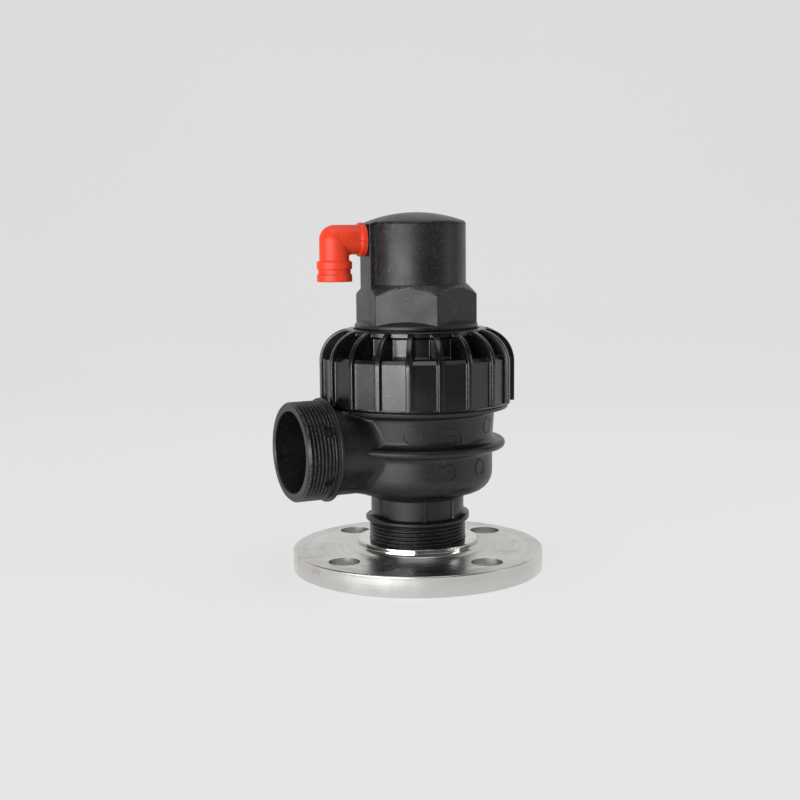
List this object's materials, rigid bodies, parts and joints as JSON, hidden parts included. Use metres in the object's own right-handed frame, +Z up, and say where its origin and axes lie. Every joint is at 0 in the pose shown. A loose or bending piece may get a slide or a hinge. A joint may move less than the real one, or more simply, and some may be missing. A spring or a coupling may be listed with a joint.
{
  "type": "combination air valve",
  "caption": "Combination air release and vacuum valve with a side outlet, ribbed union nut, hexagonal cap and drain elbow on a bolted pipe flange.",
  "frame": {"origin": "centre of the pipe flange's bottom face", "axes": "+Z up along the valve's axis, -X out of the side outlet"},
  "size_m": [0.162, 0.155, 0.219],
  "materials": {
    "stainless_steel": "satin turned stainless steel",
    "body_plastic": "semi-gloss moulded black nylon",
    "nut_plastic": "glossy moulded black nylon",
    "cap_plastic": "fine matt charcoal moulding",
    "elbow_plastic": "satin orange-red moulding",
    "inner_plastic": "plain moulding",
    "float_plastic": "foamed polypropylene, natural",
    "washer_plastic": "natural acetal",
    "seal_rubber": "moulded rubber",
    "screw_steel": "plain stainless steel"
  },
  "bodies": {
    "valve": {"pipe_flange": "stainless_steel", "valve_body": "body_plastic", "float_spider": "inner_plastic", "feed_tube": "inner_plastic", "seat_ring": "inner_plastic", "seat_o_ring": "seal_rubber", "bonnet": "body_plastic", "bonnet_o_ring": "seal_rubber", "feed_tube_o_ring": "seal_rubber", "cap": "cap_plastic", "cap_o_ring": "seal_rubber", "slot_plate": "inner_plastic", "rolling_seal": "seal_rubber", "fixed_seal_clamp": "inner_plastic", "fixed_clamp_screw_1": "screw_steel", "fixed_clamp_screw_2": "screw_steel"},
    "kinetic_float": {"main_float": "float_plastic", "float_wiper": "seal_rubber", "orifice_seal": "seal_rubber", "seal_retainer": "inner_plastic"},
    "automatic_float": {"auto_float": "float_plastic", "clamping_stem": "inner_plastic", "moving_seal_clamp": "inner_plastic", "moving_clamp_screw_1": "screw_steel", "moving_clamp_screw_2": "screw_steel"},
    "washer": {"thrust_washer": "washer_plastic"},
    "nut": {"union_nut": "nut_plastic"},
    "elbow": {"drain_elbow": "elbow_plastic", "elbow_o_ring": "seal_rubber"}
  },
  "joints": [
    {"name": "kinetic_float_lift", "type": "slide", "parent": "valve", "child": "kinetic_float", "axis": [0, 0, 1], "range_m": [0, 0.011]},
    {"name": "automatic_float_lift", "type": "slide", "parent": "valve", "child": "automatic_float", "axis": [0, 0, 1], "range_m": [0, 0.007], "deforming": ["rolling_seal"]},
    {"name": "nut_rise", "type": "slide", "parent": "valve", "child": "washer", "axis": [0, 0, 1], "range_m": [0, 0.0161]},
    {"name": "nut_turn", "type": "hinge", "parent": "washer", "child": "nut", "pos_m": [0, 0, 0.12], "axis": [0, 0, 1], "range_deg": [0, 1440]},
    {"name": "elbow_swivel", "type": "hinge", "parent": "valve", "child": "elbow", "pos_m": [-0.0347, 0.00427, 0.2031], "axis": [-0.9925, 0.1219, 0], "continuous": true}
  ],
  "couplings": [
    {"joint": "nut_rise", "follows": "nut_turn", "m_per_rad": 0.00063662}
  ]
}
